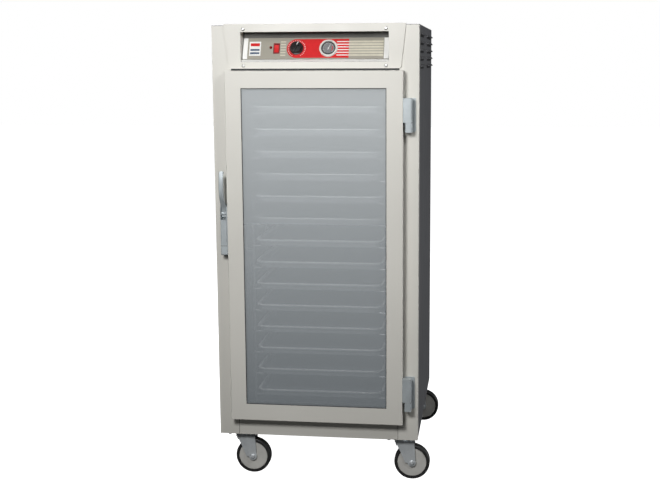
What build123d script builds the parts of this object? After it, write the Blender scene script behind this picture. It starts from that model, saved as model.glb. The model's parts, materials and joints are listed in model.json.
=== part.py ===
from build123d import *
import math
import os

os.makedirs("parts", exist_ok=True)

# Proofing cabinet, millimetres. Origin on the floor under the middle of the body.
# +Z is up, the door faces -Y, and +X is to the right of a person facing the door.

# Driving dimensions of the body
BODY_WIDTH = 711.2
BODY_DEPTH = 750.0
BODY_HEIGHT = 1449.0
CASTER_HEIGHT = 157.0
SHEET = 1.2
FIT = 0.3
RUNNING = 0.05

SIDE_X = BODY_WIDTH / 2
FRONT_Y = -BODY_DEPTH / 2
REAR_Y = BODY_DEPTH / 2
BASE_Z = CASTER_HEIGHT
TOP_Z = BASE_Z + BODY_HEIGHT

# Front frame
POST_WIDTH = 70.0
POST_DEPTH = 40.0
SILL_HEIGHT = 83.0
OPENING_X = SIDE_X - POST_WIDTH
FRAME_BACK_Y = FRONT_Y + POST_DEPTH
SILL_TOP_Z = BASE_Z + SILL_HEIGHT
HEADER_Z = 1436.0
HEADER_TOP_Z = 1474.0
CONTROL_RAIL_Z = 1592.0

# Cavity and insulation
LINER_X = 285.0
LINER_BACK_Y = 345.0
FLOOR_Z = 238.0
CEILING_Z = 1438.0
INSULATION_SIDE = 50.0

# Door
DOOR_X = 304.5
DOOR_Z = (224.0, 1452.5)
DOOR_FRONT_Y = -415.0
DOOR_BACK_Y = -378.0
DOOR_SHEET = 1.5
WINDOW_X = 249.0
WINDOW_Z = (282.5, 1394.0)
GLASS_T = 4.0
GLASS_LAP = 12.0
OUTER_PANE_Y = DOOR_FRONT_Y + DOOR_SHEET + 2.0
INNER_PANE_Y = DOOR_BACK_Y - DOOR_SHEET - 2.0 - GLASS_T

# Hinges
PIN_X = 323.0
PIN_Y = -405.0
PIN_R = 5.0
KNUCKLE_HALF = 12.0
HINGE_SPANS = ((274.7, 306.5, 389.6), (1245.5, 1278.0, 1360.0))
LEAF_T = 2.5

# Latch
LATCH_X = (-330.0, -307.0)
LATCH_Z = (816.0, 993.0)
LATCH_CAP_Z = 848.5
LATCH_Y = (-413.0, -381.0)
LEVER_PIVOT = (-402.0, 962.0)
LEVER_TOP_Z = 1110.0
LEVER_PIN_R = 3.0

# Control hood, recess and panel
HOOD_TOP_Z = 1610.0
HOOD_BOTTOM_Z = 1459.5
HOOD_TOP_X = 312.5
HOOD_BOTTOM_X = 294.5
HOOD_PROUD = 5.0
HOOD_SHEET = 1.5
RECESS_X = 254.0
RECESS_Z = (1482.0, 1583.0)
RECESS_Y = (FRONT_Y - FIT - HOOD_PROUD, -326.0)
PANEL_X = 251.5
PANEL_BOTTOM = (-365.0, 1491.0)
PANEL_TOP = (-335.0, 1563.0)
PANEL_T = 2.0
HOOD_SCREW_X = 245.0
HOOD_SCREW_Z = (1469.0, 1593.0)

# Controls, centred on the panel's slope at these stations
LAMP_X = -155.0
ROCKER_X = -134.6
KNOB_X = -65.0
THERMOMETER_X = 45.0
KNOB_R = 23.5
THERMOMETER_R = 31.5
NEEDLE_REST = -25.0
ROCKER_SIZE = (15.0, 28.0)
ROCKER_AXIS_OUT = -3.0

# Pans and slides
PAN_COUNT = 14
PAN_PITCH = 78.3
PAN_RIM_Z = 311.8
PAN_SIZE = (457.0, 652.0)
PAN_HEIGHT = 25.0
PAN_WALL = 1.2
PAN_FRONT_Y = -330.0
WIRE_R = 3.0
SLIDE_X = (205.0, 245.0)
SLIDE_Y = (-300.0, 300.0)
UPRIGHT_R = 4.0
UPRIGHT_Y = (-240.0, 0.0, 240.0)

# Air system
BAFFLE_Z = 1404.0
WHEEL_R = 80.0
WHEEL_Z = (1411.0, 1433.0)
BLOWER_SHAFT_R = 4.0
HEATER_R = 128.0
HEATER_TUBE_R = 4.0
HEATER_LEGS = (-14.0, 14.0)
HEATER_LEG_Y = -math.sqrt(HEATER_R**2 - HEATER_LEGS[1] ** 2)

# Louvres pressed in the side panels
LOUVRE_TOP_Z = 1572.0
LOUVRE_PITCH = 27.0
LOUVRE_ROWS = 5
LOUVRE_REACH = 8.0
LOUVRE_SPANS = ((-315.0, -125.0), (55.0, 325.0))

# Mains inlet in the back
INLET_X = 180.0
INLET_Z = 1520.0

# Casters
CASTER_X = 289.0
CASTER_Y = (-325.0, 310.0)
TRAIL = 44.0
WHEEL_RADIUS = 63.5
WHEEL_WIDTH = 32.0
HUB_R = 52.0
AXLE_R = 6.0
PLATE_T = 5.0
RACE_Z = (141.5, CASTER_HEIGHT - PLATE_T)
RACE_R = 25.0
FORK_INSIDE = 19.5
FORK_T = 3.0
FORK_BEND = 6.0
FORK_TOP_Z = 141.2
KINGPIN_R = 6.0


def block(x, y, z):
    """A box from its low and high limits along each axis."""
    size = [high - low for low, high in (x, y, z)]
    centre = [(high + low) / 2 for low, high in (x, y, z)]
    return Pos(*centre) * Box(*size)


def rod_x(radius, x, y, z):
    """A round bar along X between two stations."""
    return Pos((x[0] + x[1]) / 2, y, z) * Rot(0, 90, 0) * Cylinder(radius, x[1] - x[0])


def rod_y(radius, x, y, z):
    """A round bar along Y between two stations."""
    return Pos(x, (y[0] + y[1]) / 2, z) * Rot(90, 0, 0) * Cylinder(radius, y[1] - y[0])


def rod_z(radius, x, y, z):
    """A round bar along Z between two stations."""
    return Pos(x, y, (z[0] + z[1]) / 2) * Cylinder(radius, z[1] - z[0])


def tube(x, y, z, wall, axis):
    """A rectangular tube, open along the given axis (0, 1 or 2)."""
    limits = (x, y, z)
    inner = [lim if i == axis else (lim[0] + wall, lim[1] - wall) for i, lim in enumerate(limits)]
    return block(x, y, z) - block(*inner)


def mirror_x(part):
    return mirror(part, about=Plane.YZ)


# The panel's own plane: local X is the cabinet's X, local Y runs up the slope,
# local Z points out of the panel towards the user.
SLOPE_RISE = PANEL_TOP[1] - PANEL_BOTTOM[1]
SLOPE_RUN = PANEL_TOP[0] - PANEL_BOTTOM[0]
SLOPE_LENGTH = math.hypot(SLOPE_RISE, SLOPE_RUN)
PANEL_PLANE = Plane(
    origin=(0, (PANEL_TOP[0] + PANEL_BOTTOM[0]) / 2, (PANEL_TOP[1] + PANEL_BOTTOM[1]) / 2),
    x_dir=(1, 0, 0),
    z_dir=(0, -SLOPE_RISE, SLOPE_RUN),
)


def on_panel(x, up, out):
    """Places a shape on the sloping control panel."""
    return PANEL_PLANE * Pos(x, up, out)


# ---- Body ----


def base_frame():
    """Tube chassis that the casters bolt to: two side rails and three cross rails."""
    height = (BASE_Z, BASE_Z + 38)
    rail = 120.0
    inside = SIDE_X - SHEET - FIT
    runs = [FRAME_BACK_Y + FIT, REAR_Y - SHEET - FIT]
    left = tube((-inside, -inside + rail), runs, height, 2.0, 1)
    right = mirror_x(left)
    span = (-inside + rail, inside - rail)
    cross = [tube(span, (y, y + 40), height, 2.0, 0) for y in (-330.0, -20.0, 330.0)]
    return Compound(children=[left, right, *cross])


def quarter_bar(radius, length):
    """A quarter-round bar along Y with its outer end edges rounded."""
    bar = rod_y(radius, 0, (-length / 2, length / 2), 0)
    bar = bar & block((0, radius), (-length, length), (0, radius))
    arcs = bar.edges().filter_by(GeomType.CIRCLE)
    return fillet(arcs, radius * 0.6)


def louvre(y, z):
    """A quarter-round hood pressed out of the right side panel, open downwards."""
    length = y[1] - y[0]
    shell = quarter_bar(LOUVRE_REACH, length) - quarter_bar(LOUVRE_REACH - SHEET, length - 2 * SHEET)
    return Pos(SIDE_X, (y[0] + y[1]) / 2, z) * shell


def side_panel():
    """Right-hand outer skin with its ventilation louvres."""
    y = (FRAME_BACK_Y + FIT, REAR_Y)
    skin = block((SIDE_X - SHEET, SIDE_X), y, (BASE_Z, TOP_Z - SHEET - FIT))
    hoods = []
    for row in range(LOUVRE_ROWS):
        z = LOUVRE_TOP_Z - row * LOUVRE_PITCH
        for span in LOUVRE_SPANS:
            slot = (span[0] + LOUVRE_REACH, span[1] - LOUVRE_REACH)
            skin = skin - block((SIDE_X - 2 * SHEET, SIDE_X + SHEET), slot, (z, z + LOUVRE_REACH - SHEET))
            hoods.append(louvre(span, z))
    return skin + hoods


def back_panel():
    """Rear skin with a vent field behind the control compartment and the inlet's hole."""
    inside = SIDE_X - SHEET - FIT
    skin = block((-inside, inside), (REAR_Y - SHEET, REAR_Y), (BASE_Z, TOP_Z - SHEET - FIT))
    for row in range(4):
        z = 1490.0 + row * 22
        for x in (-200.0, -60.0):
            skin = skin - block((x, x + 110), (REAR_Y - 2 * SHEET, REAR_Y + SHEET), (z, z + 5))
    return skin - block((INLET_X - 24, INLET_X + 24), (REAR_Y - 9, REAR_Y + 9), (INLET_Z - 14, INLET_Z + 14))


def power_inlet():
    """Recessed mains inlet with three blades."""
    flange = block((INLET_X - 30, INLET_X + 30), (REAR_Y, REAR_Y + 2.5), (INLET_Z - 20, INLET_Z + 20))
    flange = fillet(flange.edges().filter_by(Axis.Y), 6)
    well_x = (INLET_X - 23.5, INLET_X + 23.5)
    well = block(well_x, (REAR_Y - 24, REAR_Y + 2.5), (INLET_Z - 13.5, INLET_Z + 13.5))
    pocket = block((INLET_X - 20, INLET_X + 20), (REAR_Y - 20, REAR_Y + 3), (INLET_Z - 10, INLET_Z + 10))
    blades = [
        block((x - 3, x + 3), (REAR_Y - 21, REAR_Y - 4), (z - 1, z + 1))
        for x, z in ((INLET_X - 11, INLET_Z - 3), (INLET_X, INLET_Z + 4), (INLET_X + 11, INLET_Z - 3))
    ]
    return flange + well - pocket + blades


def top_panel():
    """Flat lid with short side returns."""
    y = (FRAME_BACK_Y - POST_DEPTH + SHEET + FIT, REAR_Y)
    return block((-SIDE_X, SIDE_X), y, (TOP_Z - SHEET, TOP_Z))


def front_posts():
    """Two folded box posts, one each side of the opening."""
    z = (BASE_Z, TOP_Z - SHEET - FIT)
    right = tube((OPENING_X + FIT, SIDE_X), (FRONT_Y, FRAME_BACK_Y), z, SHEET, 2)
    return Compound(children=[mirror_x(right), right])


def front_sill():
    """Bottom rail of the front frame."""
    x = (-OPENING_X, OPENING_X)
    return tube(x, (FRONT_Y, FRAME_BACK_Y), (BASE_Z, SILL_TOP_Z), SHEET, 0)


def door_header():
    """Rail between the door opening and the control opening."""
    x = (-OPENING_X, OPENING_X)
    return tube(x, (FRONT_Y, FRAME_BACK_Y), (HEADER_Z, HEADER_TOP_Z), SHEET, 0)


def control_rail():
    """Top rail of the front frame, above the control opening."""
    x = (-OPENING_X, OPENING_X)
    return block(x, (FRONT_Y, FRAME_BACK_Y), (CONTROL_RAIL_Z, TOP_Z - SHEET - FIT))


def insulation():
    """Four slabs of mineral wool around the cavity."""
    y = (FRAME_BACK_Y + 1, LINER_BACK_Y)
    z = (FLOOR_Z, CEILING_Z)
    right = block((LINER_X + SHEET + FIT, LINER_X + SHEET + FIT + INSULATION_SIDE), y, z)
    back = block((-LINER_X, LINER_X), (LINER_BACK_Y + SHEET + FIT, REAR_Y - SHEET - FIT), z)
    floor = block((-LINER_X, LINER_X), y, (BASE_Z + 38 + FIT, FLOOR_Z - SHEET - FIT))
    return Compound(children=[mirror_x(right), right, back, floor])


def liner_sides():
    """Left and right cavity walls."""
    y = (FRAME_BACK_Y + FIT, LINER_BACK_Y - FIT)
    right = block((LINER_X, LINER_X + SHEET), y, (FLOOR_Z, CEILING_Z - FIT))
    return Compound(children=[mirror_x(right), right])


def liner_back():
    """Rear cavity wall."""
    return block((-LINER_X, LINER_X), (LINER_BACK_Y, LINER_BACK_Y + SHEET), (FLOOR_Z, CEILING_Z - FIT))


def liner_floor():
    """Cavity floor sheet."""
    y = (FRAME_BACK_Y + FIT, LINER_BACK_Y + SHEET)
    return block((-LINER_X, LINER_X), y, (FLOOR_Z - SHEET, FLOOR_Z - FIT))


def module_deck():
    """Cavity ceiling, which carries the blower motor and the heater."""
    x = (-SIDE_X + SHEET + FIT, SIDE_X - SHEET - FIT)
    deck = block(x, (FRAME_BACK_Y + FIT, REAR_Y - SHEET - FIT), (CEILING_Z, CEILING_Z + SHEET))
    deck = deck - rod_z(BLOWER_SHAFT_R + 2, 0, 0, (CEILING_Z - 1, CEILING_Z + 3))
    for x_leg in HEATER_LEGS:
        deck = deck - rod_z(HEATER_TUBE_R + FIT, x_leg, HEATER_LEG_Y, (CEILING_Z - 1, CEILING_Z + 3))
    return deck


def air_baffle():
    """Plate under the ceiling that feeds the blower and throws air to both sides."""
    plate = block((-262, 262), (-300, 300), (BAFFLE_Z, BAFFLE_Z + SHEET))
    ring = rod_z(70, 0, 0, (BAFFLE_Z - 1, BAFFLE_Z + 3))
    plate = plate - ring
    bars = []
    for radius in (22.0, 40.0, 58.0):
        hoop = Pos(0, 0, BAFFLE_Z + SHEET / 2) * Torus(radius, SHEET / 2 + 0.2)
        bars.append(hoop)
    for turn in range(4):
        bars.append(Rot(0, 0, 45 * turn) * block((-71, 71), (-1.5, 1.5), (BAFFLE_Z, BAFFLE_Z + SHEET)))
    hangers = [
        rod_z(5, x, y, (BAFFLE_Z + SHEET, CEILING_Z - FIT)) for x in (-240, 240) for y in (-270, 270)
    ]
    return Compound(children=[plate + bars, *hangers])


def heater_element():
    """Tubular heater bent into a ring round the blower wheel, with two legs up."""
    z = (WHEEL_Z[0] + WHEEL_Z[1]) / 2
    gap = math.degrees(math.asin(HEATER_LEGS[1] / HEATER_R))
    section = Plane.XZ * Pos(HEATER_R, 0) * Circle(HEATER_TUBE_R)
    ring = Pos(0, 0, z) * Rot(0, 0, -90 + gap) * revolve(section, Axis.Z, 360 - 2 * gap)
    for x in HEATER_LEGS:
        ring = ring + rod_z(HEATER_TUBE_R, x, HEATER_LEG_Y, (z, CEILING_Z + 24))
        ring = ring + Pos(x, HEATER_LEG_Y, z) * Sphere(HEATER_TUBE_R)
    return ring


def blower_motor():
    """Shaded-pole motor on the deck, with its shaft down through the ceiling."""
    can = rod_z(42, 0, 0, (CEILING_Z + SHEET, CEILING_Z + 58))
    can = fillet(can.edges().group_by(Axis.Z)[-1], 6)
    flange = rod_z(55, 0, 0, (CEILING_Z + SHEET, CEILING_Z + SHEET + 3))
    return can + flange + rod_z(BLOWER_SHAFT_R, 0, 0, (WHEEL_Z[0] + 4, CEILING_Z + 10))


def blower_wheel():
    """Forward-curved fan wheel on the motor's shaft."""
    back = rod_z(WHEEL_R, 0, 0, (WHEEL_Z[1] - SHEET, WHEEL_Z[1]))
    hub = rod_z(11, 0, 0, WHEEL_Z)
    rim = Pos(0, 0, WHEEL_Z[0]) * (Cylinder(WHEEL_R, SHEET) - Cylinder(WHEEL_R - 15, 2 * SHEET))
    blade = block((WHEEL_R - 14, WHEEL_R - 1), (-0.6, 0.6), (WHEEL_Z[0], WHEEL_Z[1] - SHEET / 2))
    blade = Pos(WHEEL_R - 8, 0, 0) * Rot(0, 0, 35) * Pos(8 - WHEEL_R, 0, 0) * blade
    blades = [Rot(0, 0, 20 * turn) * blade for turn in range(18)]
    bore = rod_z(BLOWER_SHAFT_R + RUNNING, 0, 0, (WHEEL_Z[0] - 2, WHEEL_Z[1] + 2))
    return back + hub + rim + blades - bore


# ---- Slides and pans ----


def slide_wire(z):
    """One closed wire loop that carries a pan's right edge."""
    loop = FilletPolyline(
        (SLIDE_X[0], SLIDE_Y[0]),
        (SLIDE_X[1], SLIDE_Y[0]),
        (SLIDE_X[1], SLIDE_Y[1]),
        (SLIDE_X[0], SLIDE_Y[1]),
        radius=14,
        close=True,
    )
    middle = (SLIDE_X[0] + SLIDE_X[1]) / 2
    section = Plane(origin=(middle, SLIDE_Y[0], 0), x_dir=(0, 0, 1), z_dir=(1, 0, 0)) * Circle(WIRE_R)
    return Pos(0, 0, z) * sweep(section, path=loop)


def slide_rack():
    """Right-hand rack: one wire loop a level, three uprights and their wall spacers."""
    pieces = []
    for level in range(PAN_COUNT):
        pan_bottom = PAN_RIM_Z + level * PAN_PITCH - PAN_HEIGHT
        pieces.append(slide_wire(pan_bottom - WIRE_R))
    upright_x = SLIDE_X[1] + WIRE_R + UPRIGHT_R
    for y in UPRIGHT_Y:
        top = PAN_RIM_Z + PAN_COUNT * PAN_PITCH - PAN_HEIGHT
        pieces.append(rod_z(UPRIGHT_R, upright_x, y, (FLOOR_Z, top)))
        for z in (FLOOR_Z + 40, (FLOOR_Z + top) / 2, top - 30):
            pieces.append(rod_x(5, (upright_x + UPRIGHT_R, LINER_X - FIT), y, z))
    return pieces


def sheet_pan(z):
    """Pressed pan with sloping walls, rounded corners and a rolled rim."""
    width, length = PAN_SIZE
    lip = 7.0
    taper = 8.0
    top_w = width - 2 * lip
    top_l = length - 2 * lip
    low = RectangleRounded(top_w - 2 * taper, top_l - 2 * taper, 22)
    high = Pos(0, 0, PAN_HEIGHT - 2) * RectangleRounded(top_w, top_l, 28)
    inner_low = Pos(0, 0, PAN_WALL) * RectangleRounded(
        top_w - 2 * (taper + PAN_WALL), top_l - 2 * (taper + PAN_WALL), 22 - PAN_WALL
    )
    inner_high = Pos(0, 0, PAN_HEIGHT - 2) * RectangleRounded(
        top_w - 2 * PAN_WALL, top_l - 2 * PAN_WALL, 28 - PAN_WALL
    )
    tray = loft([low, high]) - loft([inner_low, inner_high])
    ring = RectangleRounded(width, length, 35) - RectangleRounded(
        top_w - 2 * PAN_WALL, top_l - 2 * PAN_WALL, 28 - PAN_WALL
    )
    rim = Pos(0, 0, PAN_HEIGHT - 4) * extrude(ring, 4)
    rim = fillet(rim.edges().group_by(Axis.Z)[-1], 1.2)
    middle_y = PAN_FRONT_Y + length / 2
    return Pos(0, middle_y, z - PAN_HEIGHT) * (tray + rim)


def sheet_pans():
    return [sheet_pan(PAN_RIM_Z + level * PAN_PITCH) for level in range(PAN_COUNT)]


def water_pan():
    """Open pan on the cavity floor that humidifies the air."""
    outer = block((-130, 130), (-60, 180), (FLOOR_Z, FLOOR_Z + 34))
    outer = fillet(outer.edges().filter_by(Axis.Z), 18)
    inner = block((-128.8, 128.8), (-58.8, 178.8), (FLOOR_Z + 1.2, FLOOR_Z + 36))
    inner = fillet(inner.edges().filter_by(Axis.Z), 16.8)
    return outer - inner


# ---- Control module ----


def control_hood():
    """Tapered sheet-metal fascia with a recessed window for the controls."""
    bottom = HOOD_BOTTOM_Z
    outline = Polyline(
        (-HOOD_TOP_X, HOOD_TOP_Z),
        (-HOOD_BOTTOM_X, bottom),
        (HOOD_BOTTOM_X, bottom),
        (HOOD_TOP_X, HOOD_TOP_Z),
        (-HOOD_TOP_X, HOOD_TOP_Z),
    )
    face = make_face(Plane.XZ * outline)
    plate = Pos(0, FRONT_Y - FIT, 0) * extrude(face, HOOD_PROUD, dir=(0, -1, 0))
    plate = fillet(plate.edges().filter_by(Axis.Y).group_by(Axis.Z)[0], 9)
    inside = offset(face, -HOOD_SHEET)
    hollow = Pos(0, FRONT_Y - FIT + HOOD_SHEET, 0) * extrude(inside, HOOD_PROUD, dir=(0, -1, 0))
    shell = plate - hollow
    wall = 1.2
    outer = block((-RECESS_X - wall, RECESS_X + wall), RECESS_Y, (RECESS_Z[0] - wall, RECESS_Z[1] + wall))
    clear = block((-RECESS_X, RECESS_X), (RECESS_Y[0] - 1, RECESS_Y[1] + 1), RECESS_Z)
    return shell + outer - clear


def hood_screws():
    """Four pan-head screws that hold the fascia."""
    face_y = FRONT_Y - FIT - HOOD_PROUD
    heads = []
    for x in (-HOOD_SCREW_X, HOOD_SCREW_X):
        for z in HOOD_SCREW_Z:
            head = rod_y(6.0, x, (face_y - 3.8, face_y), z)
            heads.append(fillet(head.edges().group_by(Axis.Y)[0], 3.0))
    return heads


def control_panel():
    """Sloping plate behind the fascia's window, pierced for the controls, with a flange up from its top."""
    plate = on_panel(0, 0, -PANEL_T / 2) * Box(2 * PANEL_X, SLOPE_LENGTH, PANEL_T)
    flange_y = (PANEL_TOP[0], PANEL_TOP[0] + HOOD_SHEET)
    plate = plate + block((-PANEL_X, PANEL_X), flange_y, (PANEL_TOP[1] - 1, RECESS_Z[1] - FIT))
    plate = plate - on_panel(KNOB_X, 0, 0) * Cylinder(6, 20)
    plate = plate - on_panel(THERMOMETER_X, 0, 0) * Cylinder(26.5, 20)
    plate = plate - on_panel(LAMP_X, 4, 0) * Cylinder(5, 20)
    return plate - on_panel(ROCKER_X, 0, 0) * Box(19, 32, 20)


def panel_brackets():
    """Clips that hold the panel's ends, each with two screws, and the ledge under its lower edge."""
    lip_y = FRONT_Y - HOOD_PROUD
    ledge = make_face(
        Plane.YZ
        * Polyline(
            (lip_y, RECESS_Z[0] + FIT),
            (PANEL_BOTTOM[0] - 1.6, PANEL_BOTTOM[1] - 1.0),
            (PANEL_BOTTOM[0] - 0.8, PANEL_BOTTOM[1] - 2.2),
            (lip_y + 1.8, RECESS_Z[0] + FIT),
            (lip_y, RECESS_Z[0] + FIT),
        )
    )
    pieces = [extrude(ledge, RECESS_X - FIT, both=True)]
    for x in (-RECESS_X + 10.5, RECESS_X - 10.5):
        clip = on_panel(x, 0, 0.8) * Box(16, SLOPE_LENGTH - 2, 1.6)
        for up in (-0.38, 0.38):
            clip = clip + on_panel(x, up * SLOPE_LENGTH, 2.2) * Cylinder(2.6, 1.8)
        pieces.append(clip)
    return pieces


def pilot_lamp():
    """Domed lens of the heat indicator."""
    stem = on_panel(LAMP_X, 4, -4) * Cylinder(3.8, 12)
    return stem + on_panel(LAMP_X, 4, 1.4) * Sphere(4.6)


def switch_bezel():
    """Moulded frame and case of the power switch."""
    frame = on_panel(ROCKER_X, 0, 1.2) * Box(22, 38, 2.4)
    frame = fillet(frame.edges().filter_by(lambda e: abs(e.length - 2.4) < 0.01), 2)
    case = on_panel(ROCKER_X, 0, -9) * Box(18.4, 31.4, 18)
    width, height = ROCKER_SIZE
    well = on_panel(ROCKER_X, 0, -5) * Box(width + 0.8, height + 0.8, 16)
    bores = on_panel(ROCKER_X, 0, ROCKER_AXIS_OUT) * Rot(0, 90, 0) * Cylinder(1.2 + RUNNING, width + 2.4)
    return frame + case - well - bores


def power_rocker():
    """See-saw key of the power switch, tilted to its on side."""
    width, height = ROCKER_SIZE
    reach = height / 2 + 0.1
    corners = [(math.radians(angle)) for angle in (36, 8, -15, 195, 172, 164)]
    points = [(reach * math.cos(a), ROCKER_AXIS_OUT + reach * math.sin(a)) for a in corners]
    profile = make_face(Polyline(*points, (0, 2.4), points[0]))
    key = extrude(Plane.YZ * profile, width / 2, both=True)
    stubs = Pos(0, 0, ROCKER_AXIS_OUT) * Rot(0, 90, 0) * Cylinder(1.2, width + 2.2)
    return on_panel(ROCKER_X, 0, 0) * (key + stubs)


def thermostat_body():
    """Bulb-and-capillary thermostat behind the panel, with its shaft."""
    case = on_panel(KNOB_X, 0, -PANEL_T - 12.3) * Box(34, 30, 24)
    shaft = on_panel(KNOB_X, 0, -1) * Cylinder(3, 32)
    neck = on_panel(KNOB_X, 0, -1) * Cylinder(5.6, 3)
    bulb = Pos(-200, -100, CEILING_Z - 14) * Rot(0, 90, 0) * Cylinder(4, 110)
    return Compound(children=[case + shaft + neck, bulb])


def thermostat_knob():
    """Round knob with a raised grip bar."""
    skirt = on_panel(KNOB_X, 0, 3.3) * Cylinder(KNOB_R, 5)
    body = on_panel(KNOB_X, 0, 11) * Cone(KNOB_R - 2.5, KNOB_R - 4.5, 13)
    bar = on_panel(KNOB_X, 0, 17) * Rot(0, 0, -28) * Box(9, 2 * KNOB_R - 7, 9)
    bore = on_panel(KNOB_X, 0, 7) * Cylinder(3 + RUNNING, 17)
    return skirt + body + bar - bore


def thermometer_case():
    """Flanged can, dial and centre pin of the dial thermometer."""
    can = on_panel(THERMOMETER_X, 0, -5) * Cylinder(26, 16)
    flange = on_panel(THERMOMETER_X, 0, 1.2) * Cylinder(THERMOMETER_R, 2.4)
    bezel = on_panel(THERMOMETER_X, 0, 4.4) * Cylinder(THERMOMETER_R - 0.8, 4)
    bezel = fillet(bezel.edges().sort_by(Axis.Y)[0], 2.5)
    bowl = on_panel(THERMOMETER_X, 0, 6) * Cylinder(25, 9.4)
    pin = on_panel(THERMOMETER_X, 0, 2.4) * Cylinder(0.8, 3.6)
    return can + flange + bezel - bowl + pin


def thermometer_needle():
    """Pointer on the thermometer's pin, at rest near the top of its sweep."""
    hub = Cylinder(2.2, 1)
    blade = make_face(Polyline((-1.1, -6), (1.1, -6), (0.3, 19), (-0.3, 19), (-1.1, -6)))
    pointer = hub + Pos(0, 0, -0.3) * extrude(blade, 0.6) - Cylinder(0.8 + RUNNING, 4)
    return on_panel(THERMOMETER_X, 0, 2.7) * Rot(0, 0, NEEDLE_REST) * pointer


def thermometer_lens():
    """Flat window of the thermometer."""
    return on_panel(THERMOMETER_X, 0, 5.2) * Cylinder(25 - 0.02, 1.2)


# ---- Door ----


def door_skin():
    """Outer door pan with a window opening and returned edges."""
    outer = block((-DOOR_X, DOOR_X), (DOOR_FRONT_Y, DOOR_BACK_Y - DOOR_SHEET), DOOR_Z)
    outer = fillet(outer.edges().group_by(Axis.Y)[0], 1.6)
    inner = block(
        (-DOOR_X + DOOR_SHEET, DOOR_X - DOOR_SHEET),
        (DOOR_FRONT_Y + DOOR_SHEET, DOOR_BACK_Y),
        (DOOR_Z[0] + DOOR_SHEET, DOOR_Z[1] - DOOR_SHEET),
    )
    window = block((-WINDOW_X, WINDOW_X), (DOOR_FRONT_Y - 1, DOOR_BACK_Y), WINDOW_Z)
    return outer - inner - window


def door_liner():
    """Inner door pan and the channel round the window."""
    edge = DOOR_SHEET + FIT
    y = (DOOR_BACK_Y - DOOR_SHEET, DOOR_BACK_Y)
    plate = block((-DOOR_X, DOOR_X), y, DOOR_Z)
    side = (-DOOR_X + edge, DOOR_X - edge)
    fill_y = (DOOR_FRONT_Y + DOOR_SHEET + 14, DOOR_BACK_Y - DOOR_SHEET)
    core = block(side, fill_y, (DOOR_Z[0] + edge, DOOR_Z[1] - edge))
    hollow_edge = edge + DOOR_SHEET
    hollow = block(
        (-DOOR_X + hollow_edge, DOOR_X - hollow_edge),
        (fill_y[0] + DOOR_SHEET, fill_y[1]),
        (DOOR_Z[0] + hollow_edge, DOOR_Z[1] - hollow_edge),
    )
    jamb = GLASS_LAP + 4
    around = block(
        (-WINDOW_X - jamb, WINDOW_X + jamb),
        (fill_y[0], fill_y[1]),
        (WINDOW_Z[0] - jamb, WINDOW_Z[1] + jamb),
    )
    clear = block((-WINDOW_X, WINDOW_X), (DOOR_FRONT_Y, DOOR_BACK_Y + 1), WINDOW_Z)
    pocket = block(
        (-WINDOW_X - GLASS_LAP, WINDOW_X + GLASS_LAP),
        (DOOR_FRONT_Y, DOOR_BACK_Y - DOOR_SHEET),
        (WINDOW_Z[0] - GLASS_LAP, WINDOW_Z[1] + GLASS_LAP),
    )
    return plate + (core - hollow) + around - clear - pocket


def pane(y):
    """A glass pane in the door, lapping behind the window's edge."""
    lap = GLASS_LAP - FIT
    return block(
        (-WINDOW_X - lap, WINDOW_X + lap), (y, y + GLASS_T), (WINDOW_Z[0] - lap, WINDOW_Z[1] + lap)
    )


def ring_xz(half, z, width, y):
    """A rectangular ring in the XZ plane, from its inner half-width and heights."""
    outer = block((-half - width, half + width), y, (z[0] - width, z[1] + width))
    return outer - block((-half, half), (y[0] - 1, y[1] + 1), z)


def glazing_gaskets():
    """Rubber strips in front of, between and behind the two panes."""
    strip = GLASS_LAP - 1.2
    half = WINDOW_X + 0.6
    z = (WINDOW_Z[0] - 0.6, WINDOW_Z[1] + 0.6)
    lip = ring_xz(half - 2.6, (z[0] + 2.6, z[1] - 2.6), strip, (DOOR_FRONT_Y + DOOR_SHEET, OUTER_PANE_Y))
    spacer = ring_xz(half, z, strip, (OUTER_PANE_Y + GLASS_T, INNER_PANE_Y))
    rear = ring_xz(half, z, strip, (INNER_PANE_Y + GLASS_T, DOOR_BACK_Y - DOOR_SHEET))
    return Compound(children=[lip, spacer, rear])


def door_gasket():
    """Magnetic bellows gasket between the door and the front frame."""
    return ring_xz(281.0, (246.0, 1430.0), 13.0, (DOOR_BACK_Y, FRONT_Y - FIT))


def hinge_frame_leaves():
    """Frame halves of both hinges: face plate, lower knuckle and pin."""
    pieces = []
    for low, split, high in HINGE_SPANS:
        plate = block((309.5, 345), (FRONT_Y - LEAF_T, FRONT_Y), (low, high))
        plate = fillet(plate.edges().filter_by(Axis.Y), 4)
        knuckle = block(
            (PIN_X - KNUCKLE_HALF, PIN_X + KNUCKLE_HALF), (PIN_Y - KNUCKLE_HALF, FRONT_Y), (low, split)
        )
        knuckle = fillet(knuckle.edges().filter_by(Axis.Z).group_by(Axis.Y)[0], 5)
        pin = rod_z(PIN_R, PIN_X, PIN_Y, (split - 5, high - 8))
        pieces.append(plate + knuckle + pin)
    return pieces


def hinge_door_leaves():
    """Door halves of both hinges: edge plate and upper knuckle, which lift off the pins."""
    pieces = []
    for low, split, high in HINGE_SPANS:
        z = (split + FIT, high)
        plate = block((DOOR_X, DOOR_X + LEAF_T), (-413, -382), (split + FIT, high))
        knuckle = block(
            (DOOR_X + LEAF_T, PIN_X + KNUCKLE_HALF), (PIN_Y - KNUCKLE_HALF, PIN_Y + KNUCKLE_HALF), z
        )
        knuckle = fillet(knuckle.edges().filter_by(Axis.Z).group_by(Axis.X)[-1], 5)
        bore = rod_z(PIN_R + RUNNING, PIN_X, PIN_Y, (split - 1, high - 6))
        pieces.append(plate + knuckle - bore)
    return pieces


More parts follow.
